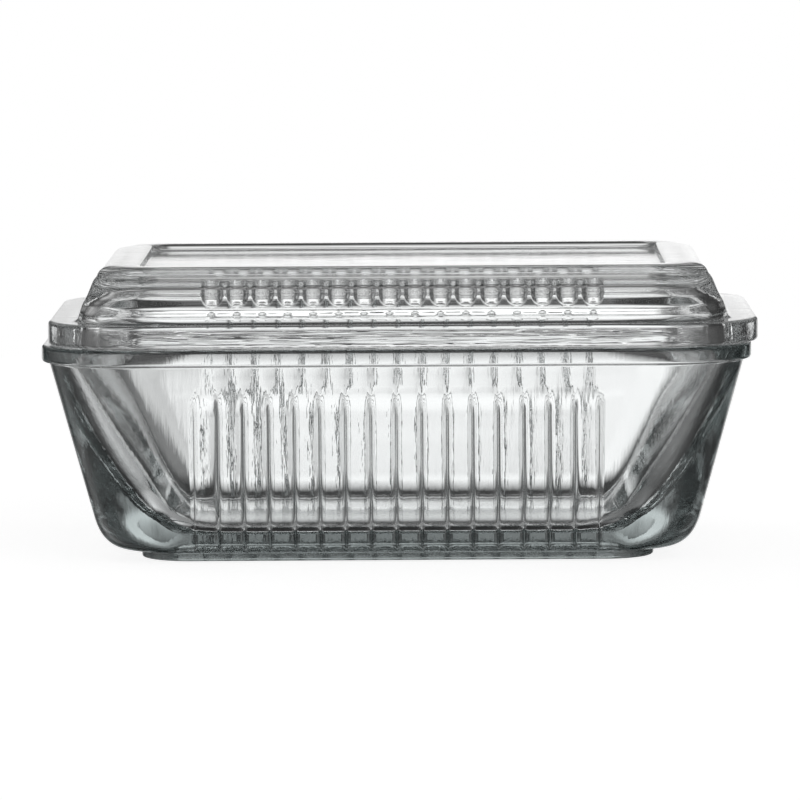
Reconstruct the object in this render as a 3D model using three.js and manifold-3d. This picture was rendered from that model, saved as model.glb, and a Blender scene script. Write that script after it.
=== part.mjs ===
// Butter dish: a pressed-glass dish with a pressed-glass lid. Millimetres, +Z up.
// The origin is on the resting surface, midway between the dish's left edge and the lid's right edge.
// +X runs along the length, and -Y is the front.
import * as THREE from 'three';
import { LoftGeometry } from 'three/addons/geometries/LoftGeometry.js';
import { mergeVertices } from 'three/addons/utils/BufferGeometryUtils.js';
import Module from 'manifold-3d';

const wasm = await Module();
wasm.setup();

// Outside of the rim and of the flange, which share one outline.
const RIM_HALF_LENGTH = 86.6;
const RIM_HALF_DEPTH = 51.5;
const RIM_CORNER = 22;
const EDGE_ROUND = 0.8;

// The lid has play on the dish. It rests this far to the right of the dish's middle.
const LID_SHIFT = 1.6;
const SEAT_GAP = 0.3;

// Heights of the dish.
const FOOT_HEIGHT = 2.3;
const RIM_BOTTOM = 48.7;
const RIM_TOP = 52.7;

// Outside wall of the dish, as half sizes at the base and under the rim.
const WALL_BASE = { halfLength: 72.1, halfDepth: 43, corner: 15 };
const WALL_TOP = { halfLength: 84.8, halfDepth: 49.6, corner: 20 };
const BASE_ROUND = { inX: 6.4, inY: 5.2, up: 8 };
const FOOT = { halfLength: 62.8, halfDepth: 37.6, corner: 12, round: 0.8 };

// The hollow of the dish, as half length, half depth, corner radius and height. Its ends lean in more than
// the outside does, so the glass is thickest low in the ends.
const DISH_HOLLOW = [
  [51.1, 33.6, 9.9, 7.4], [53.6, 35.8, 10.9, 7.7], [56.0, 37.5, 11.7, 8.4], [58.2, 38.9, 12.3, 9.7],
  [60.2, 39.9, 12.7, 11.6], [62.2, 40.5, 13.0, 14.0], [63.9, 40.9, 13.2, 16.6], [67.8, 41.9, 13.7, 23.4],
  [72.1, 43.1, 14.3, 32.0], [78.6, 45.0, 15.3, 45.5], [80.1, 45.6, 15.8, 48.7], [81.6, 46.5, 16.9, 51.5],
  [82.0, 46.9, 17.4, 52.2], [82.6, 47.4, 17.9, 52.6], [83.2, 48.0, 18.5, 52.7], [83.2, 48.0, 18.5, 54.0],
];

// Upright ribs, the same number and pitch on each long wall of the dish and the lid. A rib's outline in
// plan is given at fractions of its half width, from right to left.
const RIB_COUNT = 16;
const RIB_PITCH = 6.15;
const RIB_FRACTIONS = [1, 0.9, 0.75, 0.5, 0, -0.5, -0.75, -0.9, -1];
const RIB_SUNK = 1.5;
const RIB_OVERLAP = 0.1;
const DISH_RIB = { height: 0.95, flatness: 6, top: 40.4, topRound: 1.5, sink: 0.05 };
const DISH_RIB_LEVELS = [2.8, 3.6, 4.5, 5.8, 7.4, 10.3, 38.9, 39.4, 39.9, 40.2, 40.4];
const DISH_RIB_FOOT = 2.2;
const LID_RIB = { root: 38.6, face: 41.7, halfWidth: 2.55, flatness: 3, bevelTop: 64.4 };
const LID_RIB_LEVELS = [62.2, 64.4, 69.1];

// Heights and sizes of the lid.
const FLANGE_BOTTOM = RIM_TOP + SEAT_GAP;
const FLANGE_TOP = 58.6;
const FLANGE_TOP_ROUND = 1.1;
const LID_TOP = 72.2;
const RIDGE = { halfLength: 78.4, halfDepth: 44, corner: 14.5, drop: 2.4, round: 0.8 };
const DOME_CORNER_X = 64.7;
const DOME_CORNER_Y = 31.7;
const PANEL = { halfLength: 64, halfDepth: 38.9, corner: 5, depth: 1.7, draft: 0.5 };

// The dome as half length, half depth and height: shoulder, finger channel, lip and rounded top.
const LID_DOME = [
  [79.5, 46.4, 58.8], [79.2, 46.0, 59.4], [78.6, 44.8, 61.3], [78.3, 44.3, 61.9], [78.2, 43.8, 62.4],
  [78.0, 43.2, 62.7], [77.3, 40.4, 63.9], [77.1, 39.7, 64.3], [76.9, 39.2, 64.8], [76.6, 39.0, 65.3],
  [75.9, 39.1, 67.1], [75.7, 39.2, 67.7], [75.4, 39.6, 68.1], [75.2, 40.1, 68.5], [75.0, 40.8, 68.8],
  [74.6, 42.9, 69.4], [74.4, 43.4, 69.7], [74.2, 43.6, 70.1], [73.6, 43.6, 71.0], [72.5, 43.2, 71.7],
  [71.0, 42.5, 72.1], [69.0, 41.5, 72.2],
];
// The hollow under the lid, as half length, half depth, corner radius and height.
const LID_HOLLOW = [
  [76.5, 42.1, 13.1, 50.0], [76.5, 42.1, 13.1, 50.6], [75.8, 41.4, 12.7, 50.8], [75.5, 41.1, 12.5, 51.5],
  [75.1, 40.5, 12.5, 57.7], [74.9, 40.1, 12.4, 58.9], [74.4, 39.3, 12.1, 60.1], [72.9, 36.3, 10.9, 63.2],
  [72.2, 35.4, 10.5, 64.4], [71.4, 34.9, 10.1, 65.6], [70.8, 34.5, 9.8, 66.3], [69.8, 34.0, 9.4, 66.8],
  [68.7, 33.2, 9.1, 67.1], [67.3, 32.3, 8.7, 67.2],
];

const CORNER_STEPS = 5;
const ROUND_STEPS = 4;
const WELD_DISTANCE = 1e-4;
const GLASS = { color: 0xdfe7e8, roughness: 0.04, metalness: 0, transparent: true, opacity: 0.4 };

// One level of a rounded rectangular body. The corners may be elliptical.
function level(halfLength, halfDepth, cornerX, cornerY, z) {
  return { halfLength, halfDepth, cornerX, cornerY, z };
}

function levelPoints({ halfLength, halfDepth, cornerX, cornerY, z }) {
  const points = [];
  for (let quadrant = 0; quadrant < 4; quadrant += 1) {
    const sideX = quadrant === 0 || quadrant === 3 ? 1 : -1;
    const sideY = quadrant < 2 ? 1 : -1;
    for (let step = 0; step <= CORNER_STEPS; step += 1) {
      const angle = (quadrant + step / CORNER_STEPS) * Math.PI / 2;
      const x = sideX * (halfLength - cornerX) + cornerX * Math.cos(angle);
      const y = sideY * (halfDepth - cornerY) + cornerY * Math.sin(angle);
      points.push(new THREE.Vector3(x, y, z));
    }
  }
  return points;
}

function toManifold(geometry) {
  const bare = new THREE.BufferGeometry();
  bare.setAttribute('position', geometry.attributes.position);
  bare.setIndex(geometry.index);
  const merged = mergeVertices(bare, WELD_DISTANCE);
  const mesh = new wasm.Mesh({
    numProp: 3,
    vertProperties: new Float32Array(merged.attributes.position.array),
    triVerts: new Uint32Array(merged.index.array),
  });
  return new wasm.Manifold(mesh);
}

function toGeometry(solid) {
  const mesh = solid.getMesh();
  const geometry = new THREE.BufferGeometry();
  geometry.setAttribute('position', new THREE.BufferAttribute(mesh.vertProperties, 3));
  geometry.setIndex(new THREE.BufferAttribute(mesh.triVerts, 1));
  geometry.computeVertexNormals();
  return geometry;
}

// A solid skinned through levels from the lowest to the highest.
function skin(levels) {
  const sections = levels.map(levelPoints);
  return toManifold(new LoftGeometry(sections, { capStart: true, capEnd: true }));
}

// Levels that round a horizontal edge. side is the full-size level, and sign is 1 for an upper edge.
function roundedEdge({ halfLength, halfDepth, corner }, z, radius, sign) {
  const levels = [];
  for (let step = 0; step <= ROUND_STEPS; step += 1) {
    const angle = step / ROUND_STEPS * Math.PI / 2;
    const inset = radius * (1 - Math.cos(angle));
    const height = z + sign * (radius * Math.sin(angle) - radius);
    levels.push(level(halfLength - inset, halfDepth - inset, corner - inset, corner - inset, height));
  }
  return sign > 0 ? levels : levels.reverse();
}

// The dish's outside wall at a height, without its rounded base.
function wallAt(z) {
  const t = (z - FOOT_HEIGHT) / (RIM_BOTTOM - FOOT_HEIGHT);
  return {
    halfLength: THREE.MathUtils.lerp(WALL_BASE.halfLength, WALL_TOP.halfLength, t),
    halfDepth: THREE.MathUtils.lerp(WALL_BASE.halfDepth, WALL_TOP.halfDepth, t),
    corner: THREE.MathUtils.lerp(WALL_BASE.corner, WALL_TOP.corner, t),
  };
}

// How far the foot of the wall is moved in by its rounding at a height, as a share of the whole rounding.
function baseShare(z) {
  const rise = THREE.MathUtils.clamp(1 - (z - FOOT_HEIGHT) / BASE_ROUND.up, 0, 1);
  return 1 - Math.sqrt(1 - rise * rise);
}

// The dish's outside wall at a height, with its rounded base.
function roundedWallAt(z) {
  const wall = wallAt(z);
  const share = baseShare(z);
  return {
    halfLength: wall.halfLength - BASE_ROUND.inX * share,
    halfDepth: wall.halfDepth - BASE_ROUND.inY * share,
    corner: wall.corner,
  };
}

function baseLevels() {
  const levels = [];
  for (let step = 0; step <= ROUND_STEPS + 1; step += 1) {
    const angle = step / (ROUND_STEPS + 1) * Math.PI / 2;
    const z = FOOT_HEIGHT + BASE_ROUND.up * (1 - Math.cos(angle));
    const { halfLength, halfDepth, corner } = roundedWallAt(z);
    levels.push(level(halfLength, halfDepth, corner, corner, z));
  }
  return levels;
}

function dishOutside() {
  const rim = { halfLength: RIM_HALF_LENGTH, halfDepth: RIM_HALF_DEPTH, corner: RIM_CORNER };
  return skin([
    ...roundedEdge(FOOT, 0, FOOT.round, -1),
    level(FOOT.halfLength, FOOT.halfDepth, FOOT.corner, FOOT.corner, FOOT_HEIGHT),
    ...baseLevels(),
    level(WALL_TOP.halfLength, WALL_TOP.halfDepth, WALL_TOP.corner, WALL_TOP.corner, RIM_BOTTOM),
    ...roundedEdge(rim, RIM_BOTTOM, EDGE_ROUND, -1),
    ...roundedEdge(rim, RIM_TOP, EDGE_ROUND, 1),
  ]);
}

// A hollow from its list of half length, half depth, corner radius and height.
function hollow(list) {
  return skin(list.map(([halfLength, halfDepth, corner, z]) =>
    level(halfLength, halfDepth, corner, corner, z)));
}

function ribOffsets() {
  return Array.from({ length: RIB_COUNT }, (_, i) => (i - (RIB_COUNT - 1) / 2) * RIB_PITCH);
}

// One level of a rib: its outline in plan, closed inside the wall. depthAt gives the face at a fraction.
function ribSection(x, z, halfWidth, wallDepth, depthAt) {
  const face = RIB_FRACTIONS.map((t) => new THREE.Vector3(x + t * halfWidth, depthAt(t), z));
  const back = [-1, 1].map((t) =>
    new THREE.Vector3(x + t * (halfWidth + RIB_OVERLAP), wallDepth - RIB_SUNK, z));
  return [...face, ...back];
}

function ribSolid(sections, side) {
  const rib = new LoftGeometry(sections, { capStart: true, capEnd: true });
  if (side < 0) rib.rotateZ(Math.PI);
  return toManifold(rib);
}

// A flat-crowned rib that follows the dish's long wall, with a short rounded top and foot.
function dishRib(x, side) {
  const { height, flatness, top, topRound, sink } = DISH_RIB;
  const sections = DISH_RIB_LEVELS.map((z) => {
    const wall = roundedWallAt(z).halfDepth;
    const over = THREE.MathUtils.clamp((z - top + topRound) / topRound, 0, 1);
    const foot = THREE.MathUtils.clamp((z - FOOT_HEIGHT) / DISH_RIB_FOOT, 0, 1);
    return ribSection(x, z, RIB_PITCH / 2, wall, (t) => {
      const lift = Math.max(0, 1 - Math.abs(t) ** flatness - over ** flatness);
      return wall + height * lift * foot - sink;
    });
  });
  return ribSolid(sections, side);
}

// A convex rib in the lid's finger channel, bevelled outward at its foot where it meets the sloping floor.
function lidRib(x, side) {
  const { root, face, halfWidth, flatness, bevelTop } = LID_RIB;
  const sections = LID_RIB_LEVELS.map((z) => {
    const proud = face + Math.max(0, bevelTop - z) - root;
    return ribSection(x, z, halfWidth, root, (t) =>
      root + proud * Math.sqrt(Math.max(0, 1 - Math.abs(t) ** flatness)));
  });
  return ribSolid(sections, side);
}

function withRibs(solid, makeRib) {
  let result = solid;
  for (const side of [-1, 1]) {
    for (const x of ribOffsets()) {
      result = result.add(makeRib(x, side));
    }
  }
  return result;
}

function lidOutside() {
  const flange = { halfLength: RIM_HALF_LENGTH, halfDepth: RIM_HALF_DEPTH, corner: RIM_CORNER };
  const dome = LID_DOME.map(([halfLength, halfDepth, z]) =>
    level(halfLength, halfDepth, halfLength - DOME_CORNER_X, halfDepth - DOME_CORNER_Y, z));
  return skin([
    ...roundedEdge(flange, FLANGE_BOTTOM, EDGE_ROUND, -1),
    ...roundedEdge(flange, FLANGE_TOP, FLANGE_TOP_ROUND, 1),
    ...dome,
  ]);
}

// The ridge under the flange that keeps the lid inside the dish's mouth.
function lidRidge() {
  const { halfLength, halfDepth, corner, drop, round } = RIDGE;
  return skin([
    ...roundedEdge(RIDGE, FLANGE_BOTTOM - drop, round, -1),
    level(halfLength, halfDepth, corner, corner, FLANGE_BOTTOM + round),
  ]);
}

// The shallow panel sunk in the lid's top, where another dish's foot can stand.
function lidPanel() {
  const { halfLength, halfDepth, corner, depth, draft } = PANEL;
  return skin([
    level(halfLength - draft, halfDepth - draft, corner - draft, corner - draft, LID_TOP - depth),
    level(halfLength + draft, halfDepth + draft, corner + draft, corner + draft, LID_TOP + depth),
  ]);
}

function glassMesh(name, solid, shiftX) {
  const mesh = new THREE.Mesh(toGeometry(solid), new THREE.MeshStandardMaterial(GLASS));
  mesh.name = name;
  mesh.position.x = shiftX;
  return mesh;
}

const dish = withRibs(dishOutside(), dishRib).subtract(hollow(DISH_HOLLOW));
const lid = withRibs(lidOutside(), lidRib).add(lidRidge()).subtract(hollow(LID_HOLLOW)).subtract(lidPanel());

const butterDish = new THREE.Group();
butterDish.add(glassMesh('dish', dish, -LID_SHIFT / 2));
butterDish.add(glassMesh('lid', lid, LID_SHIFT / 2));

export default butterDish;
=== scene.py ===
import math

import bpy
import numpy as np
from mathutils import Matrix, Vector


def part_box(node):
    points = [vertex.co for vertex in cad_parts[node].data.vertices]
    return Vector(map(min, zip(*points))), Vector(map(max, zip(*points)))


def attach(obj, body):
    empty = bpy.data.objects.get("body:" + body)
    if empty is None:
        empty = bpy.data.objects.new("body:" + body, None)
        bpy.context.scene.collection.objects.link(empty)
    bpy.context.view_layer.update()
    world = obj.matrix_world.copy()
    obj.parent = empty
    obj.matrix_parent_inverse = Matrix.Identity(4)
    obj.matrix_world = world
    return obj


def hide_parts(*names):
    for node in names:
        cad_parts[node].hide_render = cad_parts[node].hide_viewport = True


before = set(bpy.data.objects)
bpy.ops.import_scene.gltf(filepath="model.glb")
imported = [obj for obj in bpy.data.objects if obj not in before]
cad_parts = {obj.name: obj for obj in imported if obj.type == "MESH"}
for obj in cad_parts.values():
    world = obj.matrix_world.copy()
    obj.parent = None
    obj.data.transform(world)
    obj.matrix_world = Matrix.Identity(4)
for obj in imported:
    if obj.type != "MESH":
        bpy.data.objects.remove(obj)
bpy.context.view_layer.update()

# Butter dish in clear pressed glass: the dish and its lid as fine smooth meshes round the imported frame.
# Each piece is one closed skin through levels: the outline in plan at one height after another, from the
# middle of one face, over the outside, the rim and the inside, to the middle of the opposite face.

MM = 0.001


# ---------------------------------------------------------------- sizes, in millimetres

def node_box(node):
    """A CAD node's lowest and highest corner, in millimetres."""
    low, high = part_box(node)
    return np.array(low) / MM, np.array(high) / MM


# The frame's own places.
DISH_LOW, DISH_HIGH = node_box("dish")
LID_LOW, LID_HIGH = node_box("lid")
RIM_HALF_LENGTH = (DISH_HIGH[0] - DISH_LOW[0]) / 2
RIM_HALF_DEPTH = (DISH_HIGH[1] - DISH_LOW[1]) / 2
RIM_TOP = DISH_HIGH[2]
LID_TOP = LID_HIGH[2]
RIDGE_BOTTOM = LID_LOW[2]
DISH_MIDDLE = (DISH_LOW[0] + DISH_HIGH[0]) / 2
LID_MIDDLE = (LID_LOW[0] + LID_HIGH[0]) / 2

# Heights and sizes that several levels share.
FOOT_HEIGHT = 2.3
DISH_FLOOR = 7.4
RIM_BOTTOM = 48.7
RIM_CORNER = 22.0
RIM_GAP = 0.3
FLANGE_TOP = 58.6
PANEL_DEPTH = 1.7
LID_CEILING = 67.2

# The plan of the lid's dome turns its corners round these fixed centres.
DOME_CORNER_X = 64.7
DOME_CORNER_Y = 31.7

# Ribs, the same number and pitch on every long wall. A flatness is a power: the higher, the squarer.
RIB_COUNT = 16
RIB_PITCH = 6.15
RIB_BANK = RIB_COUNT * RIB_PITCH / 2
DISH_RIB_HEIGHT = 0.95
DISH_RIB_FOOT = 2.2
DISH_RIB_TOP = 40.4
DISH_RIB_TOP_ROUND = 1.5
DISH_RIB_CROWN = 0.2
DISH_RIB_FLATNESS = 9.0
DISH_RIB_TOP_FLATNESS = 2.0
DISH_RIB_FILLET = 0.04
LID_RIB_ROOT = 38.6
LID_RIB_FACE = 41.7
LID_RIB_BEVEL_TOP = 64.4
LID_RIB_HALF_WIDTH = 2.55
LID_RIB_FLATNESS = 3.0
LID_RIB_FILLET = 0.12

# The heights between which a piece can have ribs, and those between which its levels stand closer together.
DISH_RIB_ZONE = (FOOT_HEIGHT, 46.0)
DISH_FINE_ZONE = (DISH_RIB_TOP - 2.5, DISH_RIB_TOP + 1.5)
LID_RIB_ZONE = (60.0, 70.5)
LID_FINE_ZONE = (61.0, 70.0)

# The largest distance between levels, inside the fine zone and elsewhere.
DISH_STEPS = (0.15, 2.0)
LID_STEPS = (0.3, 1.5)
TURN_STEPS = 6
TURN_STEPS_PER_MM = 3

# Points round one level. Across each rib they follow a sine up to this angle, so that they crowd the valleys.
CORNER_STEPS = 24
RIB_STEPS = 24
PLAIN_STEPS = 10
END_STEPS = 24
DISH_RIB_ANGLE = math.radians(82)
LID_RIB_ANGLE = math.radians(60)

# The largest share of a level's straight side that the rib points take up, and the slack at the bank's ends.
BANK_SHARE = 0.9
BANK_SLACK = 0.01

# Smaller copies of the first and last level, which fill the flat faces in the middle.
CAP_SHARES = (0.15, 0.45, 0.75)

SAME_HEIGHT = 1e-6
NO_SPAN = 1e-9


# ---------------------------------------------------------------- levels and profiles

def level(half_length, half_depth, corner, z, before=0.0, after=0.0):
    """One key level of a profile: its half sizes, corner radius and height, and how far before and after it
    the profile is already turning."""
    return np.array([half_length, half_depth, corner, corner, z]), before, after


def dome_level(half_length, half_depth, z, before=0.0, after=0.0):
    """A key level of the lid's dome, with its corners round the dome's fixed centres."""
    corner_x, corner_y = half_length - DOME_CORNER_X, half_depth - DOME_CORNER_Y
    return np.array([half_length, half_depth, corner_x, corner_y, z]), before, after


def span(a, b):
    """The distance between two levels, as the largest change in half length, half depth or height."""
    change = np.abs(b - a)
    return max(change[0], change[1], change[-1], NO_SPAN)


def turned(keys):
    """The key levels, with a curve of levels in place of each key that has a turn."""
    levels = []
    for i, (here, before, after) in enumerate(keys):
        if i in (0, len(keys) - 1) or not before:
            levels.append(here)
            continue
        back, ahead = keys[i - 1][0], keys[i + 1][0]
        start = here + (back - here) * min(1.0, before / span(here, back))
        end = here + (ahead - here) * min(1.0, after / span(here, ahead))
        turns = max(TURN_STEPS, int(max(before, after) * TURN_STEPS_PER_MM))
        for k in range(turns + 1):
            t = k / turns
            levels.append(start * (1 - t) ** 2 + here * 2 * t * (1 - t) + end * t * t)
    return levels


def profile(keys, zone, steps):
    """The turned key levels joined by straight runs of levels, which are closer together inside the zone."""
    fine, coarse = steps
    levels = turned(keys)
    dense = [levels[0]]
    for a, b in zip(levels, levels[1:]):
        low, high = min(a[-1], b[-1]), max(a[-1], b[-1])
        step = fine if low > zone[0] and high < zone[1] else coarse
        pieces = max(1, math.ceil(span(a, b) / step))
        dense += [a + (b - a) * k / pieces for k in range(1, pieces + 1)]
    return dense


def ribbed_levels(stations, zone, rim_height):
    """Which levels have ribs: those inside the zone, on the outside, before the profile reaches the rim."""
    heights = [station[-1] for station in stations]
    rim = next(i for i, z in enumerate(heights) if abs(z - rim_height) < SAME_HEIGHT)
    return [i < rim and zone[0] < z < zone[1] for i, z in enumerate(heights)]


def long_side_xs(reach, angle):
    """Places along a long side, from -reach to reach, closest together in the valleys between ribs."""
    t = np.linspace(-angle, angle, RIB_STEPS + 1)[:-1]
    one = RIB_PITCH / 2 * np.sin(t) / math.sin(angle)
    centres = (np.arange(RIB_COUNT) - (RIB_COUNT - 1) / 2) * RIB_PITCH
    bank = np.append((centres[:, None] + one).ravel(), RIB_BANK)
    bank = bank * min(1.0, BANK_SHARE * reach / RIB_BANK)
    plain = np.linspace(bank[-1], reach, PLAIN_STEPS + 1)[1:]
    return np.concatenate([-plain[::-1], bank, plain])


def ring(station, side_depth, angle):
    """The points of one level, anticlockwise from above, starting at the right end."""
    half_length, half_depth, corner_x, corner_y, z = station
    flat_x, flat_y = half_length - corner_x, half_depth - corner_y
    xs = long_side_xs(flat_x, angle)
    turn = np.linspace(0, math.pi / 2, CORNER_STEPS + 1)[1:-1]
    ys = np.linspace(-flat_y, flat_y, END_STEPS + 1)
    side = side_depth(xs, half_depth, z)
    parts = [
        np.stack([np.full_like(ys, half_length), ys], 1),
        np.stack([flat_x + corner_x * np.cos(turn), flat_y + corner_y * np.sin(turn)], 1),
        np.stack([xs[::-1], side[::-1]], 1),
        np.stack([-flat_x - corner_x * np.sin(turn), flat_y + corner_y * np.cos(turn)], 1),
        np.stack([np.full_like(ys, -half_length), ys[::-1]], 1),
        np.stack([-flat_x - corner_x * np.cos(turn), -flat_y - corner_y * np.sin(turn)], 1),
        np.stack([xs, -side], 1),
        np.stack([flat_x + corner_x * np.sin(turn), -flat_y - corner_y * np.cos(turn)], 1),
    ]
    flat = np.concatenate(parts)
    return np.column_stack([flat, np.full(len(flat), z)])


# ---------------------------------------------------------------- long sides, plain and ribbed

def plain_side(xs, half_depth, z):
    return np.full_like(xs, half_depth)


def rib_offset(xs):
    """How far each place is from the middle of its rib."""
    return np.abs((xs + RIB_BANK) % RIB_PITCH - RIB_PITCH / 2)


def softened(height, fillet):
    """A height that eases into zero where it would go below it."""
    return (height + np.sqrt(height ** 2 + fillet ** 2)) / 2


def dish_ribs(xs, half_depth, z):
    """The dish's long wall with its ribs: broad crowns, narrow valleys, and a short rounded top."""
    across = rib_offset(xs) / (RIB_PITCH / 2)
    over = min(1.0, max(0.0, (z - (DISH_RIB_TOP - DISH_RIB_TOP_ROUND)) / DISH_RIB_TOP_ROUND))
    fall = DISH_RIB_CROWN * across ** 2 + (1 - DISH_RIB_CROWN) * across ** DISH_RIB_FLATNESS
    lift = softened(1 - fall - over ** DISH_RIB_TOP_FLATNESS, DISH_RIB_FILLET)
    foot = min(1.0, max(0.0, (z - FOOT_HEIGHT) / DISH_RIB_FOOT))
    bank = np.abs(xs) < RIB_BANK + BANK_SLACK
    return half_depth + np.where(bank, DISH_RIB_HEIGHT * lift * foot, 0.0)


def lid_ribs(xs, half_depth, z):
    """The finger channel with its ribs, which run from the channel's sloping floor to under the lip."""
    across = rib_offset(xs) / LID_RIB_HALF_WIDTH
    proud = LID_RIB_FACE + max(0.0, LID_RIB_BEVEL_TOP - z) - LID_RIB_ROOT
    rib = LID_RIB_ROOT + proud * np.sqrt(np.maximum(0.0, 1 - across ** LID_RIB_FLATNESS))
    joined = half_depth + softened(rib - half_depth, LID_RIB_FILLET)
    return np.where(np.abs(xs) < RIB_BANK, joined, half_depth)


def level_rings(stations, ribbed, ribs, angle):
    """The points of every level, with ribs on those that have them."""
    return [
        ring(station, ribs if has_ribs else plain_side, angle)
        for station, has_ribs in zip(stations, ribbed)
    ]


# ---------------------------------------------------------------- meshes

def new_object(name, points, faces):
    mesh = bpy.data.meshes.new(name)
    mesh.from_pydata(points, [], faces)
    piece = bpy.data.objects.new(name, mesh)
    bpy.context.scene.collection.objects.link(piece)
    return piece


def capped(rings):
    """The rings, with smaller copies of the first and the last filling the flat faces."""
    first = [rings[0] * (k, k, 1) for k in CAP_SHARES]
    last = [rings[-1] * (k, k, 1) for k in reversed(CAP_SHARES)]
    return first + rings + last


def skin_faces(rings, count):
    """Faces between rings of count points, with a fan to the first point and to the last one."""
    faces = []
    last = rings * count + 1
    for j in range(count):
        k = (j + 1) % count
        faces.append((0, 1 + k, 1 + j))
        faces.append((last, last - count + j, last - count + k))
    for i in range(rings - 1):
        low, high = 1 + i * count, 1 + (i + 1) * count
        for j in range(count):
            k = (j + 1) % count
            faces.append((low + j, low + k, high + k, high + j))
    return faces


def closed_piece(name, rings, middle, starts_on_top):
    """One closed smooth mesh through the rings. Its faces are turned round if the first ring is on top."""
    rings = capped(rings)
    first = (0, 0, rings[0][0][2])
    last = (0, 0, rings[-1][0][2])
    points = np.concatenate([np.array([first]), *rings, np.array([last])])
    points = (points + (middle, 0, 0)) * MM
    faces = skin_faces(len(rings), len(rings[0]))
    if starts_on_top:
        faces = [face[::-1] for face in faces]
    piece = new_object(name, [tuple(point) for point in points], faces)
    piece.data.validate()
    piece.data.shade_smooth()
    return piece


# ---------------------------------------------------------------- the two pieces

def make_dish():
    """The dish, from under its foot, up the ribbed outside, over the rim and down the smooth inside."""
    rim = (RIM_HALF_LENGTH, RIM_HALF_DEPTH, RIM_CORNER)
    keys = [
        level(50, 28, 6, 0),
        level(62.8, 37.6, 12, 0, 0.9, 0.8),
        level(62.8, 37.6, 12, FOOT_HEIGHT, 0.3, 0.6),
        level(72.1, 43, 15, FOOT_HEIGHT, 6.4, 8.0),
        level(84.8, 49.6, 20, RIM_BOTTOM, 0.6, 0.5),
        level(*rim, RIM_BOTTOM, 0.9, 0.9),
        level(*rim, RIM_TOP, 0.9, 0.9),
        level(82.2, 47, 17.5, RIM_TOP, 1.0, 1.2),
        level(80.0, 45.4, 15.5, 48.5, 2.0, 3.0),
        level(66.4, 41.4, 13.5, 20, 12.0, 6.0),
        level(57.6, 39.5, 12.5, DISH_FLOOR, 6.5, 6.5),
        level(36, 20, 4, DISH_FLOOR),
    ]
    stations = profile(keys, DISH_FINE_ZONE, DISH_STEPS)
    ribbed = ribbed_levels(stations, DISH_RIB_ZONE, RIM_TOP)
    rings = level_rings(stations, ribbed, dish_ribs, DISH_RIB_ANGLE)
    return closed_piece("dish_glass_body", rings, DISH_MIDDLE, False)


def make_lid():
    """The lid, from its sunk panel, over the lip, channel and flange, round the ridge and up the hollow."""
    rim = (RIM_HALF_LENGTH, RIM_HALF_DEPTH, RIM_CORNER)
    flange_bottom = RIM_TOP + RIM_GAP
    keys = [
        level(50, 26, 4, LID_TOP - PANEL_DEPTH),
        level(63.5, 38.4, 4.5, LID_TOP - PANEL_DEPTH, 0.5, 0.5),
        level(64, 38.9, 5, LID_TOP, 0.5, 0.5),
        dome_level(73.4, 43.8, LID_TOP, 4.4, 2.2),
        dome_level(74.4, 43.6, 69.6, 0.5, 0.7),
        dome_level(75.4, 39.2, 68.3, 1.6, 1.2),
        dome_level(76.9, 38.8, 64.6, 1.4, 1.6),
        dome_level(78.3, 44.4, 62.2, 1.2, 1.6),
        dome_level(79.4, 46.4, FLANGE_TOP, 0.8, 0.8),
        level(*rim, FLANGE_TOP, 1.1, 1.1),
        level(*rim, flange_bottom, 0.9, 0.9),
        level(78.4, 44, 14.5, flange_bottom, 0.4, 0.4),
        level(78.4, 44, 14.5, RIDGE_BOTTOM, 0.9, 0.9),
        level(75.6, 41.2, 12.5, RIDGE_BOTTOM, 0.9, 0.9),
        level(75.0, 40.4, 12.5, 58.9, 1.2, 1.2),
        level(72.3, 35.2, 10.5, 64.4, 1.2, 1.2),
        level(70.3, 34.4, 9.5, LID_CEILING, 1.6, 3.0),
        level(50, 20, 4, LID_CEILING),
    ]
    stations = profile(keys, LID_FINE_ZONE, LID_STEPS)
    ribbed = ribbed_levels(stations, LID_RIB_ZONE, FLANGE_TOP)
    rings = level_rings(stations, ribbed, lid_ribs, LID_RIB_ANGLE)
    return closed_piece("lid_glass_body", rings, LID_MIDDLE, True)


# ---------------------------------------------------------------- glass

# Unevenness of the surface, as how many a metre along X, Y and Z, and how deep in metres: the striae left by
# the mould, upright on the dish and lengthwise on the lid, over broad shallow waves.
DISH_STRIAE = ((1100, 1100, 30), 0.000020)
LID_STRIAE = ((30, 1100, 1100), 0.000020)
WAVES = ((60, 60, 60), 0.00003)
NOISE_DETAIL = 2.0

GLASS_COLOUR = (0.985, 0.99, 0.99, 1)
GLASS_IOR = 1.5

# The colour and strength of what the body of the glass takes up, per metre. The dish's strength is raised
# for the sake of its dark thick ends.
BODY_COLOUR = (0.55, 0.60, 0.60, 1)
DISH_DENSITY = 24.0
LID_DENSITY = 3.0


def bump(tree, coords, unevenness, below=None):
    """A bump from soft noise over the piece's own coordinates, on top of another one."""
    nodes, links = tree.nodes, tree.links
    scale, depth = unevenness
    mapping = nodes.new("ShaderNodeMapping")
    mapping.inputs["Scale"].default_value = scale
    noise = nodes.new("ShaderNodeTexNoise")
    noise.inputs["Scale"].default_value = 1.0
    noise.inputs["Detail"].default_value = NOISE_DETAIL
    node = nodes.new("ShaderNodeBump")
    node.inputs["Strength"].default_value = 1.0
    node.inputs["Distance"].default_value = depth
    links.new(coords, mapping.inputs["Vector"])
    links.new(mapping.outputs[0], noise.inputs["Vector"])
    links.new(noise.outputs[0], node.inputs["Height"])
    if below:
        links.new(below, node.inputs["Normal"])
    return node.outputs[0]


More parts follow.
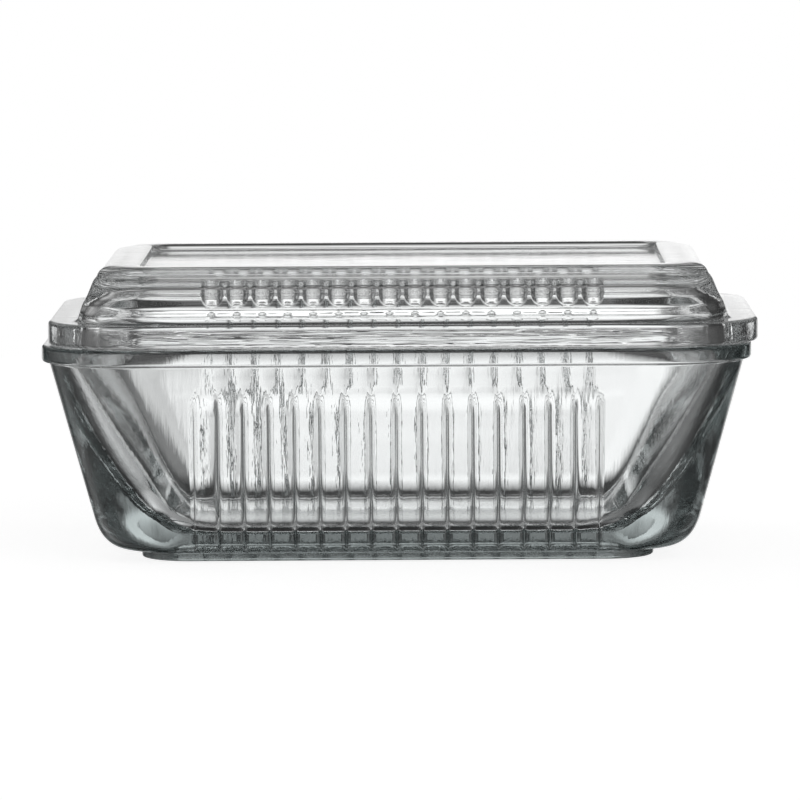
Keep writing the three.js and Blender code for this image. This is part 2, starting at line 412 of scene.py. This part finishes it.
def glass_material(name, striae, density):
    """Clear pressed glass: faint striae from the mould over broad shallow waves, and a slightly grey body."""
    material = bpy.data.materials.new(name)
    material.use_nodes = True
    tree = material.node_tree
    nodes, links = tree.nodes, tree.links
    shader = nodes["Principled BSDF"]
    shader.inputs["Base Color"].default_value = GLASS_COLOUR
    shader.inputs["Transmission Weight"].default_value = 1.0
    shader.inputs["Roughness"].default_value = 0.0
    shader.inputs["IOR"].default_value = GLASS_IOR
    coords = nodes.new("ShaderNodeTexCoord").outputs["Object"]
    normal = bump(tree, coords, striae, bump(tree, coords, WAVES))
    links.new(normal, shader.inputs["Normal"])
    body = nodes.new("ShaderNodeVolumeAbsorption")
    body.inputs["Color"].default_value = BODY_COLOUR
    body.inputs["Density"].default_value = density
    links.new(body.outputs[0], nodes["Material Output"].inputs["Volume"])
    return material


# ---------------------------------------------------------------- floor

# A pale disc just under the dish, in metres. Its own light makes most of its brightness, so that it looks
# nearly white and shows little shadow.
FLOOR_SIDES = 96
FLOOR_RADIUS = 0.55
FLOOR_HEIGHT = -0.0002
FLOOR_COLOUR = (0.85, 0.85, 0.85, 1)
FLOOR_GLOW = 0.85


def floor_material():
    material = bpy.data.materials.new("floor_white")
    material.use_nodes = True
    shader = material.node_tree.nodes["Principled BSDF"]
    shader.inputs["Base Color"].default_value = FLOOR_COLOUR
    shader.inputs["Roughness"].default_value = 1.0
    shader.inputs["Specular IOR Level"].default_value = 0.0
    shader.inputs["Emission Color"].default_value = (1, 1, 1, 1)
    shader.inputs["Emission Strength"].default_value = FLOOR_GLOW
    return material


def make_floor():
    """The floor, which the glass doesn't see: the light table's lower rows take its place there."""
    turns = [k * math.tau / FLOOR_SIDES for k in range(FLOOR_SIDES)]
    points = [(FLOOR_RADIUS * math.cos(t), FLOOR_RADIUS * math.sin(t), FLOOR_HEIGHT) for t in turns]
    floor = new_object("floor", points, [tuple(range(FLOOR_SIDES))])
    floor.data.materials.append(floor_material())
    floor.visible_transmission = False
    floor.visible_glossy = False


# ---------------------------------------------------------------- light

# The light round the dish, as levels by direction. Each row has an elevation in degrees and a level for each
# azimuth, in degrees from straight behind the dish, with its right side positive. Levels between rows and
# azimuths are blended, and the first and last rows carry on straight down and straight up. The levels are
# tuned for the view from the front. Seen from high above, the glass comes out too dark.
AZIMUTHS = (-180, -140, -100, -70, -45, -30, -20, -13, -8, -4, 0, 4, 8, 13, 20, 30, 45, 70, 100, 140, 180)
LIGHT = (
    (-50, (0.15, 0.20, 0.30, 0.30, 0.35, 0.05, 0.02, 0.02, 0.02, 0.02, 0.02,
           0.02, 0.02, 0.02, 0.02, 0.03, 0.12, 0.15, 0.25, 0.60, 0.15)),
    (-25, (0.15, 0.20, 0.35, 0.40, 0.95, 0.12, 0.03, 0.03, 0.04, 0.04, 0.04,
           0.04, 0.04, 0.03, 0.03, 0.06, 0.25, 0.15, 0.25, 1.20, 0.15)),
    (-12, (0.30, 0.20, 1.00, 0.25, 0.25, 0.08, 0.30, 0.20, 0.85, 1.20, 1.20,
           1.20, 1.20, 1.15, 0.95, 0.10, 0.03, 0.03, 0.35, 1.40, 0.30)),
    (-7, (0.80, 0.50, 1.60, 0.70, 0.04, 0.06, 0.90, 0.90, 0.65, 0.65, 1.05,
          1.10, 1.15, 1.05, 0.90, 0.05, 0.03, 0.03, 0.30, 1.40, 0.80)),
    (-2.5, (1.20, 1.00, 1.80, 0.90, 0.03, 0.04, 1.15, 1.20, 1.20, 1.20, 1.25,
            1.20, 1.15, 1.00, 0.85, 0.05, 0.03, 0.03, 0.15, 1.30, 1.20)),
    (3, (1.00, 0.90, 1.10, 0.20, 0.03, 0.03, 0.03, 0.03, 0.10, 1.25, 1.45,
         1.35, 0.10, 0.03, 0.05, 0.03, 0.03, 0.03, 0.08, 0.90, 1.00)),
    (9, (0.10, 0.20, 0.40, 0.10, 0.08, 0.03, 0.05, 0.05, 0.08, 0.25, 0.35,
         0.25, 0.08, 0.03, 0.03, 0.03, 0.03, 0.05, 0.05, 0.50, 0.10)),
    (18, (0.05, 0.05, 0.05, 0.08, 0.40, 0.05, 0.40, 0.50, 0.60, 0.65, 0.75,
          0.65, 0.50, 0.45, 0.35, 0.03, 0.03, 0.03, 0.05, 0.60, 0.05)),
    (32, (0.15, 0.10, 0.05, 0.08, 0.60, 0.10, 0.03, 0.08, 0.12, 0.25, 0.55,
          0.40, 0.12, 0.08, 0.03, 0.03, 0.10, 0.05, 0.10, 0.50, 0.15)),
    (55, (0.15, 0.15, 0.25, 0.30, 0.30, 0.10, 0.08, 0.08, 0.08, 0.12, 0.20,
          0.20, 0.12, 0.08, 0.08, 0.08, 0.15, 0.30, 0.25, 0.25, 0.15)),
)
WHITE = (1, 1, 1, 1)


class Nodes:
    """A node tree built up from small sums."""

    def __init__(self, tree):
        self.tree = tree

    def math(self, operation, *values, clamp=False):
        node = self.tree.nodes.new("ShaderNodeMath")
        node.operation = operation
        node.use_clamp = clamp
        for socket, value in zip(node.inputs, values):
            if isinstance(value, (int, float)):
                socket.default_value = value
            else:
                self.tree.links.new(value, socket)
        return node.outputs[0]

    def ramp(self, value, stops):
        """A ramp of levels. Its first stop is at 0 and its last at 1, where a new ramp already has them."""
        node = self.tree.nodes.new("ShaderNodeValToRGB")
        self.tree.links.new(value, node.inputs[0])
        elements = node.color_ramp.elements
        for position, _ in stops[1:-1]:
            elements.new(position)
        for element, (_, amount) in zip(elements, stops):
            element.color = (amount, amount, amount, 1)
        return node.outputs[0]


def light_direction(maths, x, y, z):
    """A direction's azimuth as a share of the whole turn, with straight behind at a half, and its rise in
    degrees."""
    squares = maths.math("ADD", maths.math("MULTIPLY", x, x), maths.math("MULTIPLY", y, y))
    rise = maths.math("MULTIPLY", maths.math("ARCTAN2", z, maths.math("SQRT", squares)), 180 / math.pi)
    turn = maths.math("ADD", maths.math("MULTIPLY", maths.math("ARCTAN2", x, y), 1 / math.tau), 0.5)
    return turn, rise


def row_share(maths, rise, i):
    """How much a row counts: fully at its own elevation, and less and less towards the rows next to it."""
    elevation = LIGHT[i][0]
    up = down = 1.0
    if i:
        gap = elevation - LIGHT[i - 1][0]
        up = maths.math("MULTIPLY_ADD", rise, 1 / gap, 1 - elevation / gap, clamp=True)
    if i + 1 < len(LIGHT):
        gap = LIGHT[i + 1][0] - elevation
        down = maths.math("MULTIPLY_ADD", rise, -1 / gap, 1 + elevation / gap, clamp=True)
    return maths.math("MINIMUM", up, down)


def light_level(maths, turn, rise):
    """The sum of the rows, each by its share."""
    total = 0.0
    for i, (_, row) in enumerate(LIGHT):
        stops = [((azimuth + 180) / 360, amount) for azimuth, amount in zip(AZIMUTHS, row)]
        total = maths.math("MULTIPLY_ADD", row_share(maths, rise, i), maths.ramp(turn, stops), total)
    return total


def make_world():
    """The light table all round, behind a plain white background for what the camera sees directly."""
    world = bpy.data.worlds.new("studio")
    bpy.context.scene.world = world
    world.use_nodes = True
    nodes, links = world.node_tree.nodes, world.node_tree.links
    maths = Nodes(world.node_tree)
    coords = nodes.new("ShaderNodeTexCoord")
    split = nodes.new("ShaderNodeSeparateXYZ")
    links.new(coords.outputs["Generated"], split.inputs[0])
    turn, rise = light_direction(maths, *split.outputs)
    table = nodes["Background"]
    table.inputs["Color"].default_value = WHITE
    links.new(light_level(maths, turn, rise), table.inputs["Strength"])
    plain = nodes.new("ShaderNodeBackground")
    plain.inputs["Color"].default_value = WHITE
    path = nodes.new("ShaderNodeLightPath")
    mix = nodes.new("ShaderNodeMixShader")
    links.new(path.outputs["Is Camera Ray"], mix.inputs["Fac"])
    links.new(table.outputs[0], mix.inputs[1])
    links.new(plain.outputs[0], mix.inputs[2])
    links.new(mix.outputs[0], nodes["World Output"].inputs["Surface"])


# ---------------------------------------------------------------- camera

# The camera stands in front of the dish, in metres, and looks down on it by about five degrees.
CAMERA_DISTANCE = 1.5
CAMERA_HEIGHT = 0.1797
CAMERA_ASIDE = 0.0002
CAMERA_PITCH = math.radians(5.486)
CAMERA_YAW = math.radians(0.38)
CAMERA_ROLL = math.radians(0.38)
CAMERA_REACH = 50
SENSOR_WIDTH = 36
LENS_LENGTH = 272.115


def make_camera():
    data = bpy.data.cameras.new("camera")
    data.sensor_width = SENSOR_WIDTH
    data.lens = LENS_LENGTH
    data.clip_end = CAMERA_REACH
    camera = bpy.data.objects.new("camera", data)
    bpy.context.scene.collection.objects.link(camera)
    bpy.context.scene.camera = camera
    across = CAMERA_DISTANCE * math.tan(CAMERA_YAW) - CAMERA_ASIDE
    camera.location = (across, -CAMERA_DISTANCE, CAMERA_HEIGHT)
    aim = Matrix.Rotation(CAMERA_YAW, 4, "Z") @ Matrix.Rotation(math.pi / 2 - CAMERA_PITCH, 4, "X")
    camera.rotation_mode = "QUATERNION"
    camera.rotation_quaternion = (aim @ Matrix.Rotation(-CAMERA_ROLL, 4, "Z")).to_quaternion()


# ---------------------------------------------------------------- the scene

# How often light may pass through glass and be mirrored before it is given up.
GLASS_BOUNCES = 32
GLOSS_BOUNCES = 16

make_camera()
make_floor()
make_world()
dish, lid = make_dish(), make_lid()
for piece, node, striae, density in (
    (dish, "dish", DISH_STRIAE, DISH_DENSITY),
    (lid, "lid", LID_STRIAE, LID_DENSITY),
):
    piece.data.materials.append(glass_material(node + "_glass", striae, density))
    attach(piece, node)
    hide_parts(node)

bpy.context.scene.view_settings.view_transform = "Standard"
bpy.context.scene.cycles.max_bounces = GLASS_BOUNCES
bpy.context.scene.cycles.transmission_bounces = GLASS_BOUNCES
bpy.context.scene.cycles.glossy_bounces = GLOSS_BOUNCES
